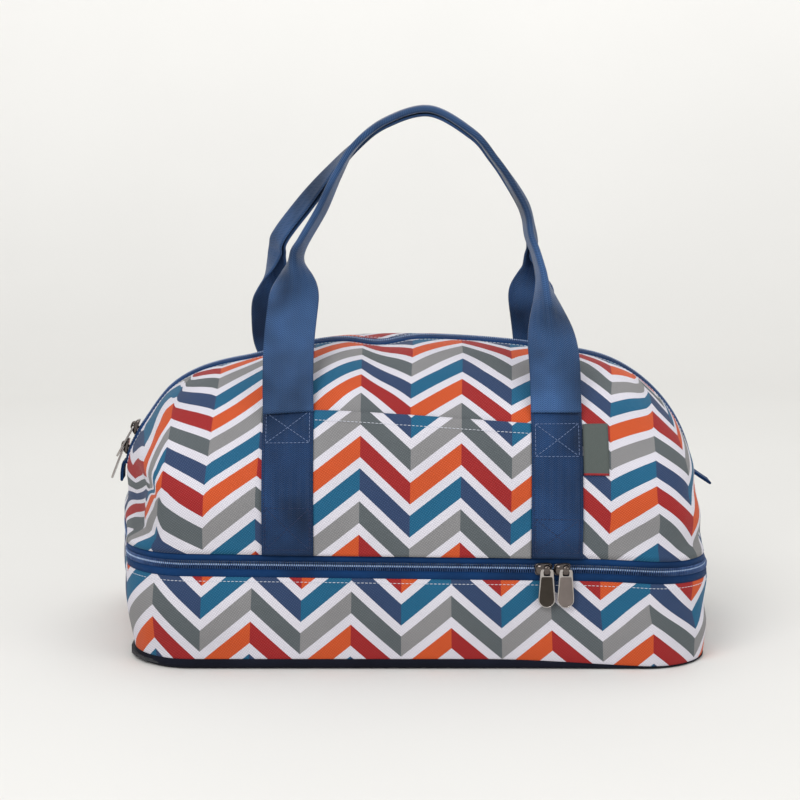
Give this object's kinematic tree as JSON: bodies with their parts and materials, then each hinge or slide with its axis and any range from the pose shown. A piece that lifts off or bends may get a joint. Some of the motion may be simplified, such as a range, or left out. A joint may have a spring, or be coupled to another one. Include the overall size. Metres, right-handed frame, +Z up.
{
  "type": "casserole carrier",
  "caption": "Insulated dish carrier with a flat lower compartment, a domed upper compartment, zip openings and webbing carry handles.",
  "frame": {"origin": "on the floor, under the middle of the bag's bottom panel", "axes": "+X to the bag's right as seen from the front, -Y the front with the pocket, +Z up"},
  "size_m": [0.4677, 0.2584, 0.4135],
  "materials": {
    "printed_fabric": "woven polyester printed with chevron stripes",
    "navy_webbing": "ribbed polyester webbing, slight sheen",
    "navy_tape": "woven zip tape",
    "navy_panel": "coated fabric, matte",
    "foam": "closed-cell insulation foam",
    "lining": "wipe-clean silver lining, satin",
    "board": "stiff flat board",
    "label_tape": "woven label, bare",
    "coil": "nylon coil",
    "dark_nickel": "polished dark nickel plating"
  },
  "bodies": {
    "base": {"base_panel": "navy_panel", "base_board": "board", "lower_wall": "printed_fabric", "lower_foam": "foam", "lower_lining": "lining", "lower_rim_binding": "navy_tape", "lower_zip_tape": "navy_tape", "lower_zip_coil": "coil", "back_hinge_strip_lower": "navy_tape"},
    "upper": {"divider_skin": "lining", "divider_foam": "foam", "divider_board": "board", "lid_zip_tape": "navy_tape", "lid_zip_coil": "coil", "back_hinge_strip_upper": "navy_tape", "upper_foam": "foam", "upper_lining": "lining", "front_panel": "printed_fabric", "back_panel": "printed_fabric", "strap_front_left": "navy_webbing", "strap_front_right": "navy_webbing", "strap_back_left": "navy_webbing", "strap_back_right": "navy_webbing", "front_pocket": "printed_fabric", "side_label": "label_tape", "top_zip_end_left": "navy_tape", "top_zip_end_right": "navy_tape", "zip_tab_left": "navy_tape", "zip_tab_right": "navy_tape"},
    "front_flap": {"front_flap_panel": "printed_fabric", "front_flap_foam": "foam", "front_flap_lining": "lining", "front_zip_tape": "navy_tape", "front_zip_coil": "coil"},
    "back_flap": {"back_flap_panel": "printed_fabric", "back_flap_foam": "foam", "back_flap_lining": "lining", "back_zip_tape": "navy_tape", "back_zip_coil": "coil"},
    "front_handle": {"front_handle": "navy_webbing"},
    "back_handle": {"back_handle": "navy_webbing"},
    "lower_slider_left": {"lower_slider_left": "dark_nickel"},
    "lower_pull_left": {"lower_pull_left": "dark_nickel"},
    "lower_slider_right": {"lower_slider_right": "dark_nickel"},
    "lower_pull_right": {"lower_pull_right": "dark_nickel"},
    "top_slider_a": {"top_slider_a": "dark_nickel"},
    "top_pull_a": {"top_pull_a": "dark_nickel"},
    "top_slider_b": {"top_slider_b": "dark_nickel"},
    "top_pull_b": {"top_pull_b": "dark_nickel"}
  },
  "joints": [
    {"name": "lid_fold", "type": "hinge", "parent": "base", "child": "upper", "pos_m": [0, 0.1255, 0.078], "axis": [1, 0, 0], "range_deg": [-110, 0]},
    {"name": "front_flap_fold", "type": "hinge", "parent": "upper", "child": "front_flap", "pos_m": [0, -0.105, 0.192], "axis": [1, 0, 0], "range_deg": [0, 50]},
    {"name": "back_flap_fold", "type": "hinge", "parent": "upper", "child": "back_flap", "pos_m": [0, 0.105, 0.192], "axis": [-1, 0, 0], "range_deg": [0, 50]},
    {"name": "front_handle_fold", "type": "hinge", "parent": "front_flap", "child": "front_handle", "pos_m": [0, -0.105, 0.192], "axis": [1, 0, 0], "range_deg": [0, 115]},
    {"name": "back_handle_fold", "type": "hinge", "parent": "back_flap", "child": "back_handle", "pos_m": [0, 0.105, 0.192], "axis": [-1, 0, 0], "range_deg": [0, 115]},
    {"name": "lower_slider_left_run", "type": "slide", "parent": "base", "child": "lower_slider_left", "axis": [1, 0, 0], "range_m": [-0.25, 0]},
    {"name": "lower_slider_right_run", "type": "slide", "parent": "base", "child": "lower_slider_right", "axis": [1, 0, 0], "range_m": [0, 0.05]},
    {"name": "lower_pull_left_swing", "type": "hinge", "parent": "lower_slider_left", "child": "lower_pull_left", "pos_m": [0.094, -0.12865, 0.078], "axis": [-1, 0, 0], "range_deg": [0, 150]},
    {"name": "lower_pull_right_swing", "type": "hinge", "parent": "lower_slider_right", "child": "lower_pull_right", "pos_m": [0.107, -0.12865, 0.078], "axis": [-1, 0, 0], "range_deg": [0, 150]},
    {"name": "top_slider_a_run", "type": "hinge", "parent": "upper", "child": "top_slider_a", "pos_m": [-0.12, 0, 0.124], "axis": [0, -1, 0], "range_deg": [-58, 0]},
    {"name": "top_slider_b_run", "type": "hinge", "parent": "upper", "child": "top_slider_b", "pos_m": [-0.12, 0, 0.124], "axis": [0, -1, 0], "range_deg": [-0.9, 0]},
    {"name": "top_pull_a_swing", "type": "hinge", "parent": "top_slider_a", "child": "top_pull_a", "pos_m": [-0.2174, 0, 0.15945], "axis": [0, 1, 0], "range_deg": [0, 110]},
    {"name": "top_pull_b_swing", "type": "hinge", "parent": "top_slider_b", "child": "top_pull_b", "pos_m": [-0.22175, 0, 0.14378], "axis": [0, 1, 0], "range_deg": [0, 34]}
  ]
}
